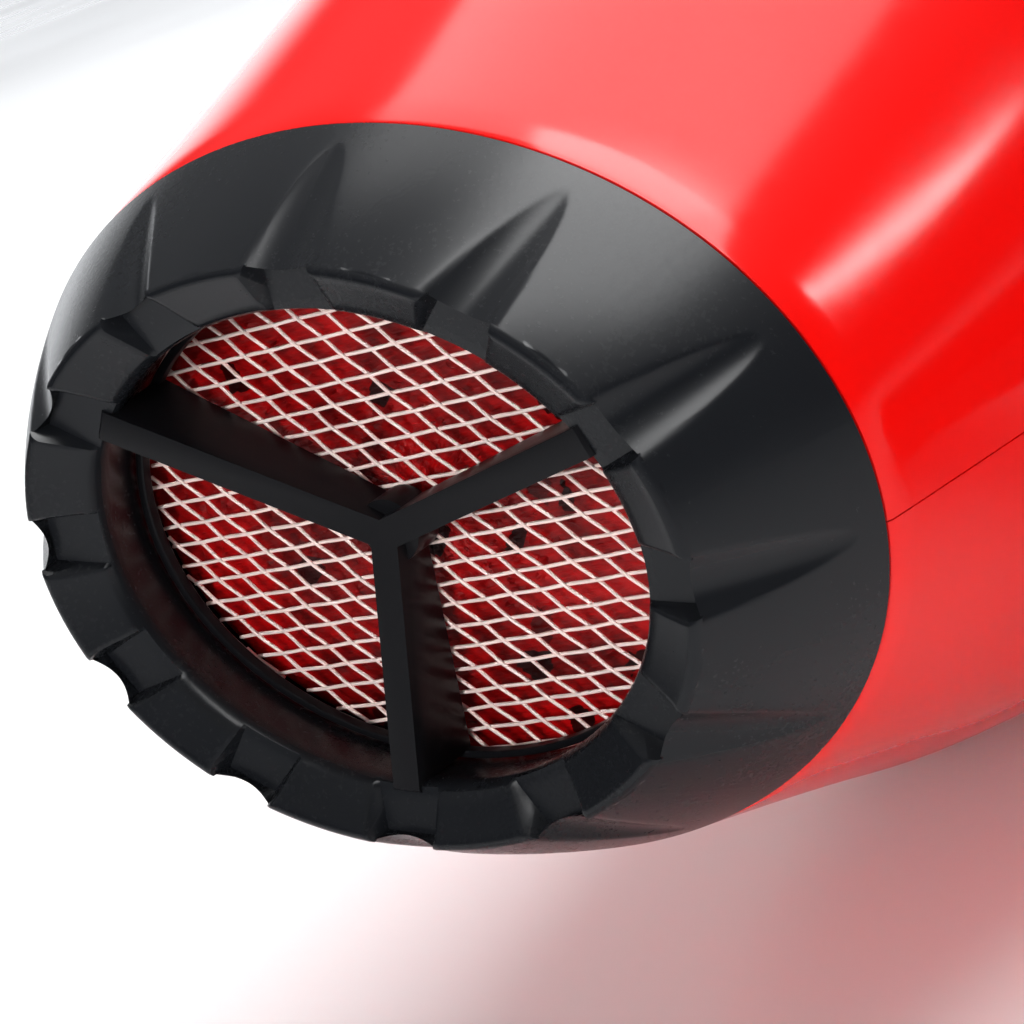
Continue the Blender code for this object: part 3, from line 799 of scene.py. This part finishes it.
def build_handle_fittings():
    bezel = temp_box("bezel", (56.0, 3.4, 13.0), (90.0, 106.4, 0))
    steps = [("DIFFERENCE", temp_box("hole", (16.0, 9.0, 9.6), (x, 106.4, 0)))
             for x in (SPEED_X, HEAT_X)]
    steps.append(("DIFFERENCE", temp_rod("button_hole", 3.9, 9.0, (BUTTON_X, 106.4, 0),
                                         (0, 1, 0))))
    mesh = carve(bezel, steps, bevel=(0.35, 3, 40))
    stand_in(link_mesh("bezel_skin", mesh, MAT["black_matte"], 40.0), "switch_bezel",
             "housing")
    build_rocker("speed_rocker_skin", SPEED_X, "speed_rocker", "speed_rocker_body")
    build_rocker("heat_rocker_skin", HEAT_X, "heat_rocker", "heat_rocker_body")
    cup = [(3.6, 103.2), (3.6, 109.6), (0.02, 109.6), (0.02, 108.4), (2.9, 108.4), (2.9, 103.2)]
    stand_in(turned("button_skin", cup, MAT["black_gloss"], 64, origin=(BUTTON_X, 0, 0), soft=0.5),
             "cool_button", "cool_button_body")
    bm = bmesh.new()
    plate = [(150.3, 15.8, 18.1), (150.55, 16.2, 18.5), (150.8, 16.3, 18.6), (152.2, 16.3, 18.6),
             (152.9, 16.0, 18.3), (153.4, 15.5, 17.8), (153.7, 14.6, 16.9)]
    lofted(bm, plate, axis="X", offset=(0, HANDLE_Y, 0), steps=128)
    end_cap = temp_object("end_cap", bm)
    hole = temp_rod("gland_hole", 5.0, 20.0, (150.0, HANDLE_Y, 0), (1, 0, 0), 64)
    mesh = carve(end_cap, [("DIFFERENCE", hole)])
    stand_in(link_mesh("end_cap_skin", mesh, MAT["black_gloss"], 35.0), "handle_end_cap",
             "housing")
    gland = [(4.6, 146.0), (4.6, 154.2), (6.2, 154.2), (6.2, 155.8), (5.2, 156.4), (5.0, 157.4),
             (4.5, 157.5), (4.5, 158.4), (4.9, 158.5), (4.8, 159.5), (4.35, 159.6),
             (4.35, 160.4), (4.6, 160.5), (4.5, 162.0), (3.0, 162.0), (3.0, 146.0)]
    stand_in(turned("gland_skin", gland, MAT["rubber"], 64, axis="X",
                    origin=(0, HANDLE_Y, 0), soft=0.15), "cord_gland", "housing")
    build_loop()


def build_loop():
    curve = round_curve("loop", 1.4, 8)
    points = [(155.5 - 1.7, HANDLE_Y - 12.2 + 3.9, 0.0), (156.5, HANDLE_Y - 12.2 + 3.9, 0.0)]
    for index in range(33):
        angle = math.pi * index / 32
        points.append((160.5 + 6.5 * math.sin(angle),
                       HANDLE_Y - 12.2 + 3.9 * math.cos(angle), 0.0))
    points += [(156.5, HANDLE_Y - 12.2 - 3.9, 0.0), (155.5 - 1.7, HANDLE_Y - 12.2 - 3.9, 0.0)]
    add_run(curve, points)
    loop = curve_piece("loop_skin", curve, MAT["rubber"])
    stand_in(loop, "hanging_loop", "housing")


KEPT = {
    "mesh_retainer": "black_matte", "fan_shroud": "black_matte", "impeller": "black_matte",
    "motor_shaft": "steel", "rotor_core": "steel", "motor_can": "steel",
    "motor_magnet": "black_matte", "motor_end_bell": "white", "front_bearing": "brass",
    "rear_bearing": "brass", "heater_frame": "mica", "heater_coil": "steel",
    "mica_tube": "mica", "thermostat": "steel", "thermal_fuse": "white",
    "outlet_grille": "black_matte", "speed_switch_body": "black_matte",
    "heat_switch_body": "black_matte", "cool_switch_body": "black_matte",
    "button_spring": "steel", "control_board": "board", "capacitor": "white",
    "housing_screw_1": "steel", "housing_screw_2": "steel", "housing_screw_3": "steel",
}


def dress_kept_nodes():
    for node, key in KEPT.items():
        obj = frame["nodes"][node]
        obj.data.materials.clear()
        obj.data.materials.append(MAT[key])
        smooth(obj, 40.0)


# ---- stage, light and camera -----------------------------------------------------------------
def build_stage():
    bm = bmesh.new()
    bmesh.ops.create_grid(bm, x_segments=1, y_segments=1, size=6.0)
    mesh = bpy.data.meshes.new("floor")
    bm.to_mesh(mesh)
    bm.free()
    mesh.materials.append(floor_material())
    floor = bpy.data.objects.new("floor", mesh)
    bpy.context.scene.collection.objects.link(floor)


def area_light(name, place, aim, size, power, along=(0, 0, 1), role="both",
               spread=180.0):
    """Rectangular soft box; its long side (local Y) follows the given direction."""
    light = bpy.data.lights.new(name, "AREA")
    light.shape = "RECTANGLE"
    light.size, light.size_y = size
    light.energy = power
    light.spread = math.radians(spread)
    obj = bpy.data.objects.new(name, light)
    bpy.context.scene.collection.objects.link(obj)
    back = (Vector(place) - Vector(aim)).normalized()
    side = Vector(along).cross(back).normalized()
    turn = Matrix((side, back.cross(side), back)).transposed().to_4x4()
    obj.matrix_world = Matrix.Translation(place) @ turn
    obj.visible_glossy = role != "fill"
    obj.visible_diffuse = role != "reflection"
    return obj


def ramp_up(nodes, links, value, start, stop, low, high):
    ramp = nodes.new("ShaderNodeMapRange")
    ramp.interpolation_type = "SMOOTHSTEP"
    for name, number in (("From Min", start), ("From Max", stop), ("To Min", low),
                         ("To Max", high)):
        ramp.inputs[name].default_value = number
    links.new(value, ramp.inputs["Value"])
    return ramp.outputs["Result"]


def build_world():
    """Studio room: dim walls, soft ceiling and a white backdrop behind the dryer."""
    world = bpy.data.worlds.new("soft_room")
    bpy.context.scene.world = world
    world.use_nodes = True
    nodes = world.node_tree.nodes
    links = world.node_tree.links
    direction = nodes.new("ShaderNodeTexCoord")
    split = nodes.new("ShaderNodeSeparateXYZ")
    links.new(direction.outputs["Generated"], split.inputs["Vector"])
    ceiling = ramp_up(nodes, links, split.outputs["Z"], 0.30, 0.70, 0.03, 0.40)
    facing = nodes.new("ShaderNodeVectorMath")
    facing.operation = "DOT_PRODUCT"
    facing.inputs[1].default_value = BACKDROP
    links.new(direction.outputs["Generated"], facing.inputs[0])
    wall = ramp_up(nodes, links, facing.outputs["Value"], 0.66, 0.86, 0.0, 1.9)
    brightest = nodes.new("ShaderNodeMath")
    brightest.operation = "MAXIMUM"
    links.new(ceiling, brightest.inputs[0])
    links.new(wall, brightest.inputs[1])
    background = nodes["Background"]
    background.inputs["Color"].default_value = (0.95, 0.97, 1.0, 1.0)
    links.new(brightest.outputs["Value"], background.inputs["Strength"])


def build_lights():
    build_world()
    end = Vector((-0.025, -0.10, 0.055))
    area_light("soft_top", end + Vector((0.30, 0.06, 0.72)), end, (0.55, 0.55), 11.0,
               role="reflection")
    area_light("ceiling_panel", end + Vector((0.07, 0.42, 0.78)), end, (0.65, 0.95), 7.0,
               along=(1, 0, 0), role="reflection")
    strip = end + Vector((0.54, 0.37, 0.245))
    area_light("strip", strip, end, (0.030, 0.16), 0.42, along=(-0.01, 0.12, -0.14),
               role="reflection")
    area_light("overhead_fill", (0.0, 0.55, 0.95), (-0.1, 0.1, 0.0), (1.2, 1.2), 22.0,
               along=(0, 1, 0), role="fill")
    area_light("front_fill", (0.10, -0.75, 0.22), (-0.05, -0.12, 0.045), (0.26, 0.26), 0.20,
               role="fill", spread=30.0)
    bpy.context.scene.view_settings.view_transform = "Standard"


CAMERA_PLACE = (5.2622, -6.5326, 3.1923)
CAMERA_RIGHT = (0.8375, 0.5150, -0.1826)
CAMERA_UP = (-0.0427, 0.3948, 0.9178)
CAMERA_LENS = 105.47


def build_camera():
    """Camera in the dryer's own frame, its place counted in intake opening radii."""
    place = Vector(CAMERA_PLACE) * INNER_EDGE
    right = Vector(CAMERA_RIGHT).normalized()
    up = Vector(CAMERA_UP)
    up = (up - right * up.dot(right)).normalized()
    back = right.cross(up)
    turn = Matrix((right, up, back)).transposed().to_4x4()
    camera = bpy.data.cameras.new("camera")
    camera.lens = CAMERA_LENS
    camera.sensor_width = 36.0
    camera.clip_start = 0.01
    obj = bpy.data.objects.new("camera", camera)
    bpy.context.scene.collection.objects.link(obj)
    obj.matrix_world = DRYER @ Matrix.Translation(place * MM) @ turn
    bpy.context.scene.camera = obj


build_ring()
build_grille()
build_screen()
build_foam()
build_housing_half("shell_upper_skin", "housing_upper", 1)
build_housing_half("shell_lower_skin", "housing_lower", -1)
build_outlet()
build_handle_fittings()
dress_kept_nodes()
build_stage()
build_lights()
build_camera()
